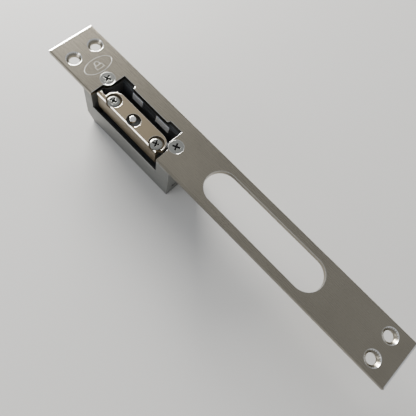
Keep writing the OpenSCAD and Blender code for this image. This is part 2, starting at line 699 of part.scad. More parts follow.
module magnet_yoke() color("#6f7376") {
    y0 = magnet_y - yoke_w / 2;
    y1 = magnet_y + yoke_w / 2;
    difference() {
        union() {
            block([yoke_x0, y0, yoke_z0], [yoke_x1, y1, yoke_z1]);
            block([yoke_x1 - yoke_end_t, y0, yoke_z0], [yoke_x1, y1, chamber_z1 - rest_gap]);
            // ears of the lever axle and of the armature axle
            for (side = [-1, 1]) {
                ear_y0 = magnet_y + side * (lever_bay + ear_t / 2) - ear_t / 2;
                solid_y(ear_y0, ear_y0 + ear_t, [[lever_x - 3, yoke_z0], [lever_x + 3, yoke_z0],
                        [lever_x + 1.7, lever_z + 1.9], [lever_x - 1.7, lever_z + 1.9]]);
                arm_y0 = magnet_y + side * (armature_w / 2 + 0.2 + 0.4) - 0.4;
                block([armature_axle_x - 1.3, arm_y0, yoke_z0],
                      [armature_axle_x + 1.3, arm_y0 + 0.8, armature_axle_z + 1.2]);
            }
        }
        along_y([lever_x, y0 - 2, lever_z], yoke_w + 4, lever_r + seat_gap);
        along_y([armature_axle_x, y0 - 2, armature_axle_z], yoke_w + 4, armature_r + seat_gap);
        along_x([yoke_x1 - yoke_end_t - cut, magnet_y, magnet_z], yoke_end_t + 2 * cut, core_d / 2 + seat_gap);
        // room for the lever and its spring
        block([yoke_x0 - cut, magnet_y - lever_bay, yoke_z0 - cut],
              [lever_x + tail_l + 0.6, magnet_y + lever_bay, lever_z - 3]);
    }
}

module magnet_core() color("#a9abad")
    along_x([core_x0, magnet_y, magnet_z], yoke_x1 - core_x0, core_d / 2);

module coil_bobbin() color("#e3ddca") {
    s = bobbin_s / 2;
    difference() {
        union() {
            along_x([bobbin_x0, magnet_y, magnet_z], bobbin_l, barrel_r);
            for (x = [bobbin_x0, bobbin_x1 - flange_t])
                block([x, magnet_y - s, magnet_z - s], [x + flange_t, magnet_y + s, magnet_z + s]);
        }
        along_x([bobbin_x0 - cut, magnet_y, magnet_z], bobbin_l + 2 * cut, core_d / 2 + seat_gap);
        along_x([bobbin_x0 - cut, magnet_y - s + spring_in, magnet_z + s - spring_in], cut + 0.6, 0.95);
    }
}

module coil_winding() color("#b06a3a") {
    difference() {
        along_x([bobbin_x0 + flange_t + 0.05, magnet_y, magnet_z],
                bobbin_l - 2 * flange_t - 0.1, bobbin_s / 2 - 0.4);
        along_x([bobbin_x0, magnet_y, magnet_z], bobbin_l, barrel_r + 0.02);
    }
}

// Two insulated wires from the coil's far flange to the terminals, beside the end of the yoke
module coil_leads() color("#a02c24") {
    for (side = [-1, 1])
        along_x([bobbin_x1 - flange_t, magnet_y + side * lead_y, lead_z],
                block_x0 - bobbin_x1 + flange_t + 1.2, lead_r);
}

module terminal_block() color("#26282b") {
    difference() {
        block([block_x0, block_y0, block_z0], [block_x1, block_y1, block_z1]);
        // room round the column of the cover screw
        translate([cover_screw_x1, magnet_y, block_z0 - cut])
            cylinder(h = body_d, r = column_r + rest_gap);
        for (side = [-1, 1]) {
            y = magnet_y + side * pole_y;
            // cage of the clamp, wire entry, well of the screw and hole of the coil lead
            block([pole_x, y, wire_z] - cage, [pole_x, y, wire_z] + cage);
            along_x([pole_x, y, wire_z], block_x1 - pole_x + cut, wire_d / 2);
            translate([pole_x, y, block_z0 - cut])
                cylinder(h = wire_z - block_z0 + cut, r = 1.7);
            along_x([block_x0 - cut, magnet_y + side * lead_y, lead_z], cut + 1.4, lead_r + 0.15);
        }
    }
}

module terminal_clamps() color("#c8b26a") {
    clamp = cage - [rest_gap, rest_gap, rest_gap];
    for (side = [-1, 1]) {
        y = magnet_y + side * pole_y;
        difference() {
            block([pole_x, y, wire_z] - clamp, [pole_x, y, wire_z] + clamp);
            block([pole_x - clamp[0] - cut, y - 1, wire_z - 1], [pole_x + clamp[0] + cut, y + 1, wire_z + 1.2]);
            translate([pole_x, y, wire_z - 3])
                cylinder(h = 3, r = 1 + seat_gap);
        }
    }
}

module terminal_screws() color("#d0cfc8") {
    head_z = block_z0 + 0.3;
    for (side = [-1, 1])
        translate([pole_x, magnet_y + side * pole_y, head_z])
            difference() {
                union() {
                    cylinder(h = 1, r = 1.5);
                    cylinder(h = wire_z - 0.2 - head_z, r = 1);
                }
                translate([-2, -0.25, -cut])
                    cube([4, 0.5, cut + 0.5]);
            }
}

strike_plate();
plate_screws();
housing();
back_cover();
cover_screws();
cavity_liner();
guide_strips();
keeper_carrier();
keeper_face();
keeper_screws();
keeper_pin();
keeper_axle();
keeper_spring();
locking_lever();
lever_axle();
lever_spring();
armature();
armature_axle();
armature_spring();
magnet_yoke();
magnet_core();
coil_bobbin();
coil_winding();
coil_leads();
terminal_block();
terminal_clamps();
terminal_screws();
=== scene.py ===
"""Electric door strike: its finishes and the stage it stands on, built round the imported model.

Everything is in metres, in the model's own frame: +X along the faceplate, -Y towards the keeper,
+Z out of the faceplate's front. Each piece starts as a copy of its solid, gets its edges broken
and its small marks cut, and is given a finish. Only the coil is made anew, as a layer of wire.
"""

import json
import math

import bmesh
import bpy
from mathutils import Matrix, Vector

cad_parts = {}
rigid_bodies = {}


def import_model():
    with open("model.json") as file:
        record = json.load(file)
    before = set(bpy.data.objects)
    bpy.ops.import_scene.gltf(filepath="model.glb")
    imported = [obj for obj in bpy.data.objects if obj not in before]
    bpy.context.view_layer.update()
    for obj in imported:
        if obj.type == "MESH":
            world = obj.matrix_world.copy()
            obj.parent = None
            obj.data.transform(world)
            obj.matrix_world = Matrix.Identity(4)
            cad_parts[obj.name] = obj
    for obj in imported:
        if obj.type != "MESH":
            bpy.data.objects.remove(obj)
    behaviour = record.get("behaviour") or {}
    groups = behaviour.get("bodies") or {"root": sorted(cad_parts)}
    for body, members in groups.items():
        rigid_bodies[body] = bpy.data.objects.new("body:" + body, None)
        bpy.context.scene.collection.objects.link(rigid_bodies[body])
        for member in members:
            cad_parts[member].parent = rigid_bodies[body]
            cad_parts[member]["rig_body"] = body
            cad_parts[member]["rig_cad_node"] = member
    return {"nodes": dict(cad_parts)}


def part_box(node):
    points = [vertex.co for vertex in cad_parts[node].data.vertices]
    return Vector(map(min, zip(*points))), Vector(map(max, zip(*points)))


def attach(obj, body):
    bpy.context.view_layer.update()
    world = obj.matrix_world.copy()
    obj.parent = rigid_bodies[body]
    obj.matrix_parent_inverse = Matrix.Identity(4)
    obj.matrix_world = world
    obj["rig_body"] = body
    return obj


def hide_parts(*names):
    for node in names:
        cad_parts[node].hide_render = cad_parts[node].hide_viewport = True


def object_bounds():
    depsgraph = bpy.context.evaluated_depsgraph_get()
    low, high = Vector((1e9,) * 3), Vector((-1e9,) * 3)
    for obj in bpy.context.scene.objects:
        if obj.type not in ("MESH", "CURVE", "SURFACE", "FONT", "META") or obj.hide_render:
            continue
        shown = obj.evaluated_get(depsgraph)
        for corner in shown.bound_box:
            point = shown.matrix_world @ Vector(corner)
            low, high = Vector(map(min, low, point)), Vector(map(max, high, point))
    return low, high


bl_info = {
    "name": "Electric door strike",
    "version": (1, 0, 0),
    "blender": (4, 5, 0),
    "location": "3D View > Sidebar > Door strike",
    "description": "Finishes the pieces of an electric door strike and sets its stage",
    "category": "Object",
}

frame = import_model()
CAD_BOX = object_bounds()
MM = 0.001

WELD = 0.002 * MM           # corners closer than this are one corner
LEVEL = 0.01 * MM           # heights closer than this are the same height
UPRIGHT = 0.999             # least upright share of the normal of a flat face
BEVEL_SLOPE = 0.36          # fall of a soft bevel over its width
BEVEL_NEAR = 1.2            # an edge within this many bevel widths of the box lies on the box
SLOPING = (0.35, 0.98)      # upright share of the normal of a sloping face
BREAK_ABOVE = 32            # edges sharper than this are broken, in degrees
SMOOTH_BELOW = 18           # edges blunter than this are shaded smooth, in degrees
FLAT_WEIGHT = 80            # how far large faces bend the shading of the small ones their way
PLAIN, SECOND = 0, 1        # slots of a piece's own material and of its polished faces with a painted highlight or its painted recess shade

HOLE_INSET = 12.7 * MM      # middles of the fixing holes from the end of the faceplate
FACE_MARGIN = 0.3 * MM      # the countersinks start this far under the faceplate's faces
LOCK_HALF = 0.26            # half the engraved padlock's body, as a share of the oval's width
SHACKLE_FOOT = 0.5          # straight part of the shackle, as a share of half the body
SHACKLE_ARC = 0.6           # radius of the shackle, as a share of half the body
OVAL_STEPS = 48             # straight lines that make up the oval
SHACKLE_STEPS = 12          # and the arc of the shackle

RECESS_SHADE_REACH = 0.62         # reach of the painted shade in a cross recess, as a share of the screw head's radius
RECESS_SHADE_TOP = 0.1 * MM       # depth under the head's top at which the painted shade starts
RECESS_SHADE_END = 1.45 * MM      # depth at which the painted shade ends

COIL_SIDES = 10             # sides of the wound wire
COIL_STEPS = 24             # steps of one turn of wire
BARREL_SIDES = 48           # sides of the barrel under the wire
COIL_SMOOTH = 50            # edges of the coil blunter than this are shaded smooth, in degrees

FLOOR_SIZE = 8.0
CAMERA_SENSOR = 36.0        # width of the camera's sensor in millimetres
CAMERA_NEAR = 0.01          # nothing nearer than this to the camera is shown
WINDOW = {"spot": (-1.05, 0.45, 0.37), "target": (0.0, 0.0, 0.0), "size": (0.8, 0.34),
          "tone": (1.0, 0.985, 0.955)}
FRONT = {"spot": (-0.29, -0.52, 0.25), "target": (-0.06, 0.0, 0.02), "size": (0.3, 0.2),
         "tone": (0.95, 0.97, 1.0)}

NOISE_SPAN = (0.3, 0.7)     # the part of a noise's range that is used
NOISE_ROUGHNESS = 0.55      # share of fine grain in a noise
ENGRAVED_LIFT = 1.05        # the engraved lines are this much paler than the painted highlight of the polished edges


# Settings ---------------------------------------------------------------------------------------


def length(name, description, default_mm):
    """A length setting, given in millimetres and kept in metres."""
    return bpy.props.FloatProperty(
        name=name, description=description, default=default_mm * MM, min=0.0, unit="LENGTH",
        precision=5)


def colour(name, description, default):
    """A colour setting."""
    return bpy.props.FloatVectorProperty(
        name=name, description=description, default=default, size=3, min=0.0, max=1.0,
        subtype="COLOR")


class StrikeSizes(bpy.types.PropertyGroup):
    """Sizes of the broken edges, the mark and the windings"""
    plate_edge: length("Plate edges", "Width of the polished bevel round the faceplate", 0.8)
    hole_edge: length("Opening edges", "Width of the bevel round the faceplate's openings", 0.14)
    keeper_edge: length("Keeper edges", "Width of the polished bevel on the keeper", 0.12)
    lip_rise: length("Keeper lip", "Height of the keeper's lip over its flange", 0.5)
    cast_edge: length("Cast edges", "Width of the rounded edges of the castings", 0.3)
    fine_edge: length("Fine edges", "Width of the broken edges of screws and small pieces", 0.08)
    mark_length: length("Mark length", "Length of the engraved oval across the plate", 18.0)
    mark_width: length("Mark width", "Width of the engraved oval", 9.4)
    mark_line: length("Mark line", "Width of the engraved lines", 0.30)
    mark_gap: length("Mark place", "Distance of the mark's middle from the fixing holes", 11.9)
    wire: length("Coil wire", "Diameter of the enamelled wire on the coil", 0.36)


class StrikeColours(bpy.types.PropertyGroup):
    """Colours of the finishes"""
    steel: colour("Faceplate", "Satin stainless steel", (0.285, 0.258, 0.205))
    # Polish partly, painted highlight partly: far paler than the satin steel of the same plate.
    bright_steel: colour("Polished edges", "Polished steel edges", (0.86, 0.85, 0.81))
    nickel: colour("Keeper", "Satin nickel", (0.235, 0.190, 0.125))
    # Polish partly, painted highlight partly: far paler than the satin nickel of the same keeper.
    polished_nickel_highlight: colour("Keeper edges", "Polished nickel edges", (0.93, 0.88, 0.78))
    zinc: colour("Housing", "Die-cast zinc", (0.24, 0.24, 0.225))
    dark_zinc: colour("Carrier", "Dark die-cast zinc", (0.20, 0.21, 0.215))
    plated: colour("Screws", "Bright zinc plating", (0.34, 0.34, 0.31))
    lining: colour("Lining", "Black moulded plastic", (0.065, 0.069, 0.074))
    strip: colour("Strips", "Pale tinned strip", (0.78, 0.80, 0.83))
    # The recess colour is painted shade: it darkens the bottoms of the screws' cross recesses.
    recess: colour("Recesses", "Dark bottom of the screw recesses", (0.045, 0.045, 0.042))
    spring: colour("Springs", "Drawn spring steel", (0.55, 0.56, 0.57))
    iron: colour("Soft iron", "Plated soft iron", (0.36, 0.37, 0.38))
    bobbin: colour("Bobbin", "Pale moulded plastic", (0.62, 0.56, 0.42))
    copper: colour("Winding", "Enamelled copper wire", (0.52, 0.19, 0.07))
    lead: colour("Leads", "Insulation of the leads", (0.42, 0.03, 0.02))
    brass: colour("Clamps", "Plain brass", (0.66, 0.48, 0.19))


class StrikeStage(bpy.types.PropertyGroup):
    """The floor, the lights and the camera"""
    floor: colour("Floor", "Pale matt table top", (0.62, 0.61, 0.585))
    sky: colour("Surroundings", "Colour of the light from all round", (0.80, 0.83, 0.88))
    sky_strength: bpy.props.FloatProperty(
        name="Fill", description="Strength of the light from all round", default=0.63, min=0.0)
    window_power: bpy.props.FloatProperty(
        name="Window", description="Power of the large soft light in watts", default=55.0, min=0.0)
    front_power: bpy.props.FloatProperty(
        name="Front", description="Power of the small light in front of the keeper, in watts",
        default=1.0, min=0.0)
    camera_place: bpy.props.FloatVectorProperty(
        name="Camera", description="Place of the camera",
        default=(0.03983, -0.09297, 0.24620), unit="LENGTH")
    camera_turn: bpy.props.FloatVectorProperty(
        name="Camera turn", description="Turn of the camera about X, Y and Z", subtype="EULER",
        default=(math.radians(20.652), math.radians(-8.148), math.radians(45.479)))
    camera_lens: bpy.props.FloatProperty(
        name="Lens", description="Focal length in millimetres", default=38.68)


def sizes():
    """The sizes as they are set in this scene."""
    return bpy.context.scene.strike_sizes


def colours():
    """The colours as they are set in this scene."""
    return bpy.context.scene.strike_colours


def stage_settings():
    """The stage as it is set in this scene."""
    return bpy.context.scene.strike_stage


# Modelling --------------------------------------------------------------------------------------


def select_only(*pieces):
    """Selects these objects and nothing else. The last one becomes active."""
    bpy.ops.object.select_all(action="DESELECT")
    for piece in pieces:
        piece.select_set(True)
    bpy.context.view_layer.objects.active = pieces[-1]


def apply_modifier(piece, kind, **settings):
    """Adds one modifier with these settings and applies it."""
    select_only(piece)
    modifier = piece.modifiers.new(kind.title(), kind)
    for name, value in settings.items():
        setattr(modifier, name, value)
    bpy.ops.object.modifier_apply(modifier=modifier.name)


def copy_of(node, name):
    """A free copy of a solid, with its loose triangles joined at their corners."""
    select_only(frame["nodes"][node])
    bpy.ops.object.duplicate()
    piece = bpy.context.active_object
    bpy.ops.object.parent_clear(type="CLEAR_KEEP_TRANSFORM")
    piece.name = name
    piece.data.name = name
    del piece["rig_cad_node"]
    piece.data.materials.clear()
    bpy.ops.mesh.customdata_custom_splitnormals_clear()
    bpy.ops.object.mode_set(mode="EDIT")
    bpy.ops.mesh.select_all(action="SELECT")
    bpy.ops.mesh.remove_doubles(threshold=WELD)
    bpy.ops.object.mode_set(mode="OBJECT")
    return piece


def select_flat(piece, height, up):
    """Selects the faces of a piece that lie flat at this height and face up (1) or down (-1)."""
    select_only(piece)
    bpy.ops.object.mode_set(mode="EDIT")
    bpy.ops.mesh.select_mode(type="FACE")
    bpy.ops.mesh.select_all(action="DESELECT")
    mesh = bmesh.from_edit_mesh(piece.data)
    for face in mesh.faces:
        level = abs(face.calc_center_median().z - height) < LEVEL
        face.select_set(level and face.normal.z * up > UPRIGHT)
    bmesh.update_edit_mesh(piece.data)


def soften_flat(piece, height, width, up=1.0, outer=None):
    """Bevels all round the flat faces at this height.

    outer is the width of the bevel along edges that lie on the piece's own box.
    """
    outer = outer or width
    low, high = (Vector(c) for c in (piece.bound_box[0], piece.bound_box[6]))
    select_flat(piece, height, up)
    bpy.ops.mesh.inset(thickness=width, use_boundary=True, use_even_offset=True)
    mesh = bmesh.from_edit_mesh(piece.data)
    near = width * BEVEL_NEAR
    for vertex in mesh.verts:
        spot = vertex.co
        if abs(spot.z - height) > LEVEL:
            continue
        sides = [(axis, edge, sign)
                 for axis in (0, 1) for edge, sign in ((low[axis], 1), (high[axis], -1))
                 if (spot[axis] - edge) * sign < near]
        if not vertex.select:
            spot.z -= up * BEVEL_SLOPE * (outer if sides else width)
        for axis, edge, sign in sides:
            if vertex.select:
                spot[axis] = edge + sign * outer
    bmesh.update_edit_mesh(piece.data)
    bpy.ops.object.mode_set(mode="OBJECT")


def paint_slope_highlights(piece):
    """Gives the sloping faces, such as bevels and countersinks, the second material, a painted
    highlight.
    """
    steepest, flattest = SLOPING
    for face in piece.data.polygons:
        if steepest < abs(face.normal.z) < flattest:
            face.material_index = SECOND


def break_edges(piece, width, segments, slot):
    """Bevels the sharp edges. The new faces take the material in that slot."""
    apply_modifier(
        piece, "BEVEL", width=width, segments=segments, limit_method="ANGLE",
        angle_limit=math.radians(BREAK_ABOVE), use_clamp_overlap=False, material=slot,
        miter_outer="MITER_ARC")


def smooth(piece):
    """Smooth shading that keeps flat faces flat."""
    select_only(piece)
    bpy.ops.object.shade_smooth_by_angle(angle=math.radians(SMOOTH_BELOW))
    apply_modifier(piece, "WEIGHTED_NORMAL", keep_sharp=True, weight=FLAT_WEIGHT)


def place(piece, node):
    """The piece stands for this solid and moves with its body."""
    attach(piece, frame["nodes"][node]["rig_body"])
    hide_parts(node)


def give_materials(piece, *names):
    """Puts these materials in the slots of a piece, in this order."""
    made = finishes()
    for name in names:
        piece.data.materials.append(made[name])


def finished_copy(node, name, materials, width=0.0, segments=2):
    """The usual way from a solid to a finished piece. Broken edges take the last material."""
    piece = copy_of(node, name)
    give_materials(piece, *materials)
    if width:
        break_edges(piece, width, segments, len(materials) - 1)
    smooth(piece)
    place(piece, node)


def line_cutter(name, outline, line, material, closed):
    """A round bar along an outline of (x, y, z) points, for cutting an engraved line."""
    mesh = bpy.data.meshes.new(name)
    last = len(outline) if closed else len(outline) - 1
    mesh.from_pydata(outline, [(i, (i + 1) % len(outline)) for i in range(last)], [])
    bar = bpy.data.objects.new(name, mesh)
    bpy.context.scene.collection.objects.link(bar)
    select_only(bar)
    bpy.ops.object.convert(target="CURVE")
    bar = bpy.context.active_object
    bar.data.bevel_depth = line / 2
    bar.data.bevel_resolution = 1
    bar.data.use_fill_caps = True
    bpy.ops.object.convert(target="MESH")
    bar = bpy.context.active_object
    bpy.ops.object.mode_set(mode="EDIT")
    bpy.ops.mesh.select_all(action="SELECT")
    bpy.ops.mesh.normals_make_consistent(inside=False)
    bpy.ops.object.mode_set(mode="OBJECT")
    bar.data.materials.clear()
    bar.data.materials.append(material)
    return bar


def cut_with(piece, cutter):
    """Cuts one object out of a piece and removes the cutter."""
    apply_modifier(
        piece, "BOOLEAN", operation="DIFFERENCE", object=cutter, solver="EXACT",
        material_mode="TRANSFER")
    select_only(cutter)
    bpy.ops.object.delete()


# Finishes ---------------------------------------------------------------------------------------


class Finish:
    """A material under construction, with its shader and the links between its nodes."""

    def __init__(self, name, base, metallic, roughness, **sockets):
        self.material = bpy.data.materials.new(name)
        self.material.use_nodes = True
        self.material.diffuse_color = (*base, 1.0)
        self.tree = self.material.node_tree
        self.shader = self.tree.nodes["Principled BSDF"]
        self.base = base
        self.roughness = roughness
        self.shader.inputs["Base Color"].default_value = (*base, 1.0)
        self.shader.inputs["Metallic"].default_value = metallic
        self.shader.inputs["Roughness"].default_value = roughness
        for socket, value in sockets.items():
            self.shader.inputs[socket.replace("_", " ")].default_value = value
        self.coordinates = self.tree.nodes.new("ShaderNodeTexCoord").outputs["Object"]

    def noise(self, grain, detail, along=1.0):
        """Noise whose grain is this long in metres, and longer along X by a factor."""
        mapping = self.tree.nodes.new("ShaderNodeMapping")
        mapping.inputs["Scale"].default_value = (1.0 / along, 1.0, 1.0)
        self.tree.links.new(self.coordinates, mapping.inputs["Vector"])
        noise = self.tree.nodes.new("ShaderNodeTexNoise")
        noise.inputs["Scale"].default_value = 1.0 / grain
        noise.inputs["Detail"].default_value = detail
        noise.inputs["Roughness"].default_value = NOISE_ROUGHNESS
        self.tree.links.new(mapping.outputs["Vector"], noise.inputs["Vector"])
        return noise.outputs["Fac"]

    def ranged(self, value, low, high):
        """A noise moved to another range."""
        node = self.tree.nodes.new("ShaderNodeMapRange")
        node.inputs["From Min"].default_value, node.inputs["From Max"].default_value = NOISE_SPAN
        node.inputs["To Min"].default_value = low
        node.inputs["To Max"].default_value = high
        self.tree.links.new(value, node.inputs["Value"])
        return node.outputs["Result"]

    def tint(self, value, darker, lighter):
        """Colour that varies between two shades of the base."""
        ramp = self.tree.nodes.new("ShaderNodeValToRGB")
        for stop, position, factor in zip(ramp.color_ramp.elements, NOISE_SPAN, (darker, lighter)):
            stop.position = position
            stop.color = (*[min(1.0, c * factor) for c in self.base], 1.0)
        self.tree.links.new(value, ramp.inputs["Fac"])
        self.tree.links.new(ramp.outputs["Color"], self.shader.inputs["Base Color"])

    def gloss(self, value, below, above):
        """Roughness that varies from below the finish's own to above it."""
        varied = self.ranged(value, self.roughness - below, self.roughness + above)
        self.tree.links.new(varied, self.shader.inputs["Roughness"])

    def relief(self, value, height, strength):
        """Small relief, this high in metres."""
        bump = self.tree.nodes.new("ShaderNodeBump")
        bump.inputs["Distance"].default_value = height
        bump.inputs["Strength"].default_value = strength
        self.tree.links.new(value, bump.inputs["Height"])
        self.tree.links.new(bump.outputs["Normal"], self.shader.inputs["Normal"])


def brushed_metal(name, base, roughness, along, metallic=1.0):
    """Satin metal brushed along X, with faint clouding. Unbrushed where along is 1."""
    finish = Finish(name, base, metallic, roughness)
    brushing = finish.noise(0.09 * MM, detail=2.0, along=along)
    clouding = finish.noise(22 * MM, detail=3.0)
    finish.tint(clouding, darker=0.94, lighter=1.05)
    finish.gloss(brushing, below=0.02, above=0.04)
    finish.relief(brushing, height=0.001 * MM, strength=0.25)


def polished_metal(name, base, roughness):
    """Metal polished at an edge, with faint handling marks."""
    finish = Finish(name, base, metallic=1.0, roughness=roughness)
    finish.gloss(finish.noise(1.4 * MM, detail=5.0), below=0.04, above=0.09)


def cast_metal(name, base, roughness):
    """Die-cast metal with a fine grain and slight flow marks."""
    finish = Finish(name, base, metallic=0.75, roughness=roughness)
    finish.tint(finish.noise(9 * MM, detail=5.0, along=2.5), darker=0.88, lighter=1.08)
    finish.gloss(finish.noise(0.5 * MM, detail=4.0), below=0.06, above=0.10)
    finish.relief(finish.noise(0.35 * MM, detail=4.0), height=0.02 * MM, strength=0.55)


def moulded_plastic(name, base, roughness):
    """Moulded plastic with a spark-eroded grain."""
    finish = Finish(name, base, metallic=0.0, roughness=roughness, Specular_IOR_Level=0.45)
    finish.tint(finish.noise(6 * MM, detail=2.0), darker=0.85, lighter=1.15)
    finish.gloss(finish.noise(0.8 * MM, detail=4.0), below=0.06, above=0.10)
    finish.relief(finish.noise(0.22 * MM, detail=3.0), height=0.012 * MM, strength=0.6)


def finishes():
    """Every material, made once."""
    made = bpy.data.materials
    if "satin steel" in made:
        return made
    shade = colours()
    engraved = [min(1.0, c * ENGRAVED_LIFT) for c in shade.bright_steel]
    brushed_metal("satin steel", shade.steel, roughness=0.27, along=60.0)
    polished_metal("polished steel with painted highlight", shade.bright_steel, roughness=0.16)
    polished_metal("engraved steel", engraved, roughness=0.42)
    brushed_metal("satin nickel", shade.nickel, roughness=0.32, along=14.0, metallic=0.75)
    polished_metal("polished nickel with painted highlight", shade.polished_nickel_highlight, roughness=0.22)
    cast_metal("cast zinc", shade.zinc, roughness=0.42)
    cast_metal("dark cast zinc", shade.dark_zinc, roughness=0.40)
    brushed_metal("bright plating", shade.plated, roughness=0.24, along=1.0)
    moulded_plastic("black lining", shade.lining, roughness=0.38)
    brushed_metal("tinned strip", shade.strip, roughness=0.50, along=30.0, metallic=0.1)
    # painted shade for the bottoms of the screw recesses
    cast_metal("painted recess shade", shade.recess, roughness=0.60)
    brushed_metal("spring steel", shade.spring, roughness=0.26, along=30.0)
    brushed_metal("plated iron", shade.iron, roughness=0.36, along=8.0)
    moulded_plastic("pale plastic", shade.bobbin, roughness=0.45)
    brushed_metal("enamelled copper", shade.copper, roughness=0.30, along=1.0, metallic=0.85)
    moulded_plastic("red insulation", shade.lead, roughness=0.42)
    brushed_metal("plain brass", shade.brass, roughness=0.30, along=1.0)
    return made


# Operators --------------------------------------------------------------------------------------


class StrikeOperator(bpy.types.Operator):
    """Shared settings of the operators"""
    bl_options = {"REGISTER", "UNDO"}


class STRIKE_OT_stage(StrikeOperator):
    """Sets the camera, the pale table and the soft lights"""
    bl_idname = "strike.stage"
    bl_label = "Stage"

    def execute(self, context):
        settings = stage_settings()
        bpy.ops.object.camera_add(location=settings.camera_place, rotation=settings.camera_turn)
        camera = context.active_object
        camera.name = "camera"
        camera.data.sensor_width = CAMERA_SENSOR
        camera.data.lens = settings.camera_lens
        camera.data.clip_start = CAMERA_NEAR
        context.scene.camera = camera

        bpy.ops.mesh.primitive_plane_add(size=FLOOR_SIZE, location=(0.0, 0.0, CAD_BOX[0].z))
        floor = context.active_object
        floor.name = "table_top"
        finish = Finish("table top", settings.floor, metallic=0.0, roughness=0.55)
        finish.tint(finish.noise(250 * MM, detail=2.0), darker=0.99, lighter=1.01)
        finish.relief(finish.noise(1.2 * MM, detail=4.0), height=0.01 * MM, strength=0.15)
        floor.data.materials.append(finish.material)

        self.light("window", settings.window_power, **WINDOW)
        self.light("front", settings.front_power, **FRONT)
        self.surroundings(settings)
        return {"FINISHED"}

    def light(self, name, power, spot, target, size, tone):
        """A rectangular soft light at a spot, aimed at a target."""
        bpy.ops.object.light_add(type="AREA", location=spot)
        lamp = bpy.context.active_object
        lamp.name = name
        lamp.rotation_euler = (Vector(target) - Vector(spot)).to_track_quat("-Z", "Y").to_euler()
        lamp.data.shape = "RECTANGLE"
        lamp.data.size, lamp.data.size_y = size
        lamp.data.energy = power
        lamp.data.color = tone

    def surroundings(self, settings):
        """Even light from all round."""
        world = bpy.data.worlds.new("surroundings")
        world.use_nodes = True
        background = world.node_tree.nodes["Background"]
        background.inputs["Color"].default_value = (*settings.sky, 1.0)
        background.inputs["Strength"].default_value = settings.sky_strength
        bpy.context.scene.world = world


class STRIKE_OT_faceplate(StrikeOperator):
    """Finishes the faceplate: brushed face, polished edges with a painted highlight and an engraved
    padlock in an oval
    """
    bl_idname = "strike.faceplate"
    bl_label = "Faceplate"

    def execute(self, context):
        size = sizes()
        plate = copy_of("strike_plate", "faceplate")
        give_materials(plate, "satin steel", "polished steel with painted highlight", "engraved steel")
        low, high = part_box("strike_plate")
        soften_flat(plate, high.z, size.hole_edge, 1.0, size.plate_edge)
        soften_flat(plate, low.z, size.hole_edge, -1.0, size.plate_edge)
        paint_slope_highlights(plate)
        # The long sides and the countersinks keep the satin steel, without the painted highlight.
        for face in plate.data.polygons:
            spot = face.center
            long_side = min(spot.y - low.y, high.y - spot.y) < size.plate_edge
            countersink = FACE_MARGIN < high.z - spot.z < high.z - low.z - FACE_MARGIN
            if long_side or countersink:
                face.material_index = PLAIN
        self.engrave(plate, size)
        smooth(plate)
        place(plate, "strike_plate")
        return {"FINISHED"}

    def engrave(self, plate, size):
        """Cuts the oval and, inside it, the body and the shackle of a padlock."""
        low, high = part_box("strike_plate")
        middle = Vector((low.x + HOLE_INSET + size.mark_gap, (low.y + high.y) / 2, high.z))
        half_x = size.mark_width / 2
        half_y = size.mark_length / 2
        body = size.mark_width * LOCK_HALF
        oval = [(half_x * math.cos(a), half_y * math.sin(a)) for a in self.turn(0, 360, OVAL_STEPS)]
        lock = [(body, -body), (body, body), (0.0, body), (0.0, -body)]
        bow = [(-body * (SHACKLE_FOOT + SHACKLE_ARC * math.sin(a)),
                body * SHACKLE_ARC * math.cos(a))
               for a in self.turn(0, 180, SHACKLE_STEPS)]
        shackle = [(0.0, body * SHACKLE_ARC), *bow, (0.0, -body * SHACKLE_ARC)]
        engraving = finishes()["engraved steel"]
        for name, outline, closed in (
                ("oval", oval, True), ("lock", lock, True), ("shackle", shackle, False)):
            points = [middle + Vector((x, y, 0.0)) for x, y in outline]
            cut_with(plate, line_cutter(name, points, size.mark_line, engraving, closed))

    @staticmethod
    def turn(first, last, steps):
        """Angles from one to the other, in radians, without the last of a full turn."""
        count = steps if last - first == 360 else steps + 1
        return [math.radians(first + (last - first) * i / steps) for i in range(count)]


def paint_recess_shade(screws, node, top):
    """Paints shade into the cross recesses of a row of two screws, with the second material."""
    low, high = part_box(node)
    head_r = (high.y - low.y) / 2
    middles = [Vector((x, low.y + head_r)) for x in (low.x + head_r, high.x - head_r)]
    for face in screws.data.polygons:
        spot = face.center
        depth = abs(spot.z - top)
        away = min((spot.xy - middle).length for middle in middles)
        if away < head_r * RECESS_SHADE_REACH and RECESS_SHADE_TOP < depth < RECESS_SHADE_END:
            face.material_index = SECOND


class STRIKE_OT_screws(StrikeOperator):
    """Finishes the screws"""
    bl_idname = "strike.screws"
    bl_label = "Screws"

    def execute(self, context):
        for node, name in (
                ("plate_screws", "countersunk_screws"), ("keeper_screws", "pan_head_screws"),
                ("cover_screws", "back_cover_screws")):
            screws = copy_of(node, name)
            give_materials(screws, "bright plating", "painted recess shade")
            low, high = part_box(node)
            top, up = (low.z, -1.0) if node == "cover_screws" else (high.z, 1.0)
            soften_flat(screws, top, sizes().fine_edge, up)
            # paint shade into the bottoms of the cross recesses
            paint_recess_shade(screws, node, top)
            smooth(screws)
            place(screws, node)
        return {"FINISHED"}


class STRIKE_OT_housing(StrikeOperator):
    """Finishes the die-cast housing and its back cover"""
    bl_idname = "strike.housing"
    bl_label = "Housing"

    def execute(self, context):
        size = sizes()
        finished_copy("housing", "cast_housing", ["cast zinc"], size.cast_edge, 3)
        # the cover's broken edges take the polished steel with its painted highlight
        finished_copy("back_cover", "cover_sheet", ["satin steel", "polished steel with painted highlight"],
                      size.fine_edge)
        return {"FINISHED"}


class STRIKE_OT_pocket(StrikeOperator):
    """Finishes the lining of the latch pocket and its spring strips"""
    bl_idname = "strike.pocket"
    bl_label = "Latch pocket"

    def execute(self, context):
        finished_copy("cavity_liner", "pocket_lining", ["black lining"])
        finished_copy("guide_strips", "spring_strips", ["tinned strip"])
        return {"FINISHED"}


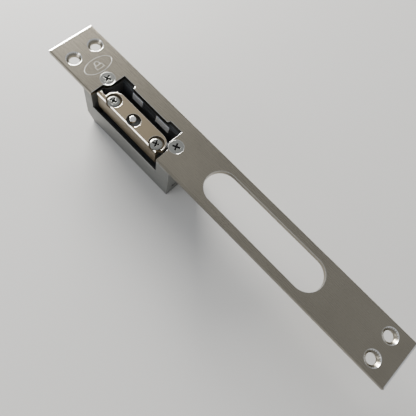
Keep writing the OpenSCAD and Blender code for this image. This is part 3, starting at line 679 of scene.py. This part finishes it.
class STRIKE_OT_keeper(StrikeOperator):
    """Finishes the keeper, its carrier, pin, axle and spring"""
    bl_idname = "strike.keeper"
    bl_label = "Keeper"

    def execute(self, context):
        size = sizes()
        keeper = copy_of("keeper_face", "swing_keeper")
        give_materials(keeper, "satin nickel", "polished nickel with painted highlight")
        _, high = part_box("keeper_face")
        soften_flat(keeper, high.z - size.lip_rise, size.keeper_edge)
        # the keeper's bevels and sloping faces take the painted highlight
        paint_slope_highlights(keeper)
        smooth(keeper)
        place(keeper, "keeper_face")
        finished_copy("keeper_carrier", "cast_carrier", ["dark cast zinc"])
        finished_copy("keeper_pin", "domed_pin", ["polished steel with painted highlight"])
        finished_copy("keeper_axle", "long_axle", ["bright plating"],
                      size.fine_edge)
        finished_copy("keeper_spring", "return_spring", ["spring steel"])
        return {"FINISHED"}


class STRIKE_OT_release(StrikeOperator):
    """Finishes the locking lever and the armature with their axles and springs"""
    bl_idname = "strike.release"
    bl_label = "Release"

    def execute(self, context):
        fine = sizes().fine_edge
        for node, name, slot, material, width in (
                ("locking_lever", "lever", "soft_iron", "plated iron", 0.0),
                ("lever_axle", "lever_pivot", "bright_steel", "bright plating", fine),
                ("lever_spring", "lever_coil_spring", "spring_steel", "spring steel", 0.0),
                ("armature", "armature_plate", "soft_iron", "plated iron", 0.0),
                ("armature_axle", "armature_pivot", "bright_steel", "bright plating", fine),
                ("armature_spring", "armature_leaf_spring", "spring_steel", "spring steel", 0.0)):
            finished_copy(node, name, [material], width)
        return {"FINISHED"}


class STRIKE_OT_magnet(StrikeOperator):
    """Finishes the electromagnet and winds its coil"""
    bl_idname = "strike.magnet"
    bl_label = "Electromagnet"

    def execute(self, context):
        for node, name, slot, material in (
                ("magnet_yoke", "yoke", "soft_iron", "plated iron"),
                ("magnet_core", "core", "soft_iron", "plated iron"),
                ("coil_bobbin", "bobbin", "pale_plastic", "pale plastic"),
                ("coil_leads", "leads", "red_insulation", "red insulation")):
            finished_copy(node, name, [material])
        self.wind()
        return {"FINISHED"}

    def wind(self):
        """One layer of wire wound round a solid barrel, in the place of the plain winding."""
        low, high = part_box("coil_winding")
        middle_y = (low.y + high.y) / 2
        middle_z = (low.z + high.z) / 2
        outer = (high.z - low.z) / 2
        wire = sizes().wire
        turns = int((high.x - low.x - wire) / wire)
        bpy.ops.mesh.primitive_circle_add(
            vertices=COIL_SIDES, radius=wire / 2, location=(0.0, 0.0, 0.0))
        layer = bpy.context.active_object
        layer.name = "wound_coil"
        bpy.ops.object.mode_set(mode="EDIT")
        bpy.ops.mesh.select_all(action="SELECT")
        bpy.ops.transform.translate(value=(wire / 2, outer - wire / 2, 0.0))
        bpy.ops.object.mode_set(mode="OBJECT")
        layer.location = (low.x, middle_y, middle_z)
        apply_modifier(
            layer, "SCREW", axis="X", screw_offset=wire, iterations=turns, steps=COIL_STEPS,
            render_steps=COIL_STEPS)
        bpy.ops.mesh.primitive_cylinder_add(
            vertices=BARREL_SIDES, radius=outer - wire / 2, depth=turns * wire,
            rotation=(0.0, math.pi / 2, 0.0),
            location=(low.x + wire / 2 + turns * wire / 2, middle_y, middle_z))
        barrel = bpy.context.active_object
        select_only(barrel, layer)
        bpy.ops.object.join()
        bpy.ops.object.transform_apply(location=True, rotation=True, scale=True)
        bpy.ops.object.mode_set(mode="EDIT")
        bpy.ops.mesh.select_all(action="SELECT")
        bpy.ops.mesh.normals_make_consistent(inside=False)
        bpy.ops.object.mode_set(mode="OBJECT")
        give_materials(layer, "enamelled copper")
        bpy.ops.object.shade_smooth_by_angle(angle=math.radians(COIL_SMOOTH))
        place(layer, "coil_winding")


class STRIKE_OT_terminals(StrikeOperator):
    """Finishes the terminal block, its clamps and screws"""
    bl_idname = "strike.terminals"
    bl_label = "Terminals"

    def execute(self, context):
        for node, name, slot, material in (
                ("terminal_block", "connector_block", "black_plastic", "black lining"),
                ("terminal_clamps", "clamps", "brass", "plain brass"),
                ("terminal_screws", "clamp_screws", "bright_steel", "bright plating")):
            finished_copy(node, name, [material])
        return {"FINISHED"}


class STRIKE_PT_panel(bpy.types.Panel):
    """Lists the pieces and the settings"""
    bl_idname = "STRIKE_PT_panel"
    bl_label = "Door strike"
    bl_space_type = "VIEW_3D"
    bl_region_type = "UI"
    bl_category = "Door strike"

    def draw(self, context):
        for operator in OPERATORS:
            self.layout.operator(operator.bl_idname)
        for group in (sizes(), colours(), stage_settings()):
            for name in group.__annotations__:
                self.layout.prop(group, name)


GROUPS = (StrikeSizes, StrikeColours, StrikeStage)
OPERATORS = (STRIKE_OT_stage, STRIKE_OT_faceplate, STRIKE_OT_screws, STRIKE_OT_housing,
             STRIKE_OT_pocket, STRIKE_OT_keeper, STRIKE_OT_release, STRIKE_OT_magnet,
             STRIKE_OT_terminals)


def register():
    for cls in (*GROUPS, *OPERATORS, STRIKE_PT_panel):
        bpy.utils.register_class(cls)
    bpy.types.Scene.strike_sizes = bpy.props.PointerProperty(type=StrikeSizes)
    bpy.types.Scene.strike_colours = bpy.props.PointerProperty(type=StrikeColours)
    bpy.types.Scene.strike_stage = bpy.props.PointerProperty(type=StrikeStage)


def unregister():
    del bpy.types.Scene.strike_stage
    del bpy.types.Scene.strike_colours
    del bpy.types.Scene.strike_sizes
    for cls in reversed((*GROUPS, *OPERATORS, STRIKE_PT_panel)):
        bpy.utils.unregister_class(cls)


def main():
    """Makes the stage and every piece."""
    register()
    bpy.ops.strike.stage()
    bpy.ops.strike.faceplate()
    bpy.ops.strike.screws()
    bpy.ops.strike.housing()
    bpy.ops.strike.pocket()
    bpy.ops.strike.keeper()
    bpy.ops.strike.release()
    bpy.ops.strike.magnet()
    bpy.ops.strike.terminals()


if __name__ == "__main__":
    main()
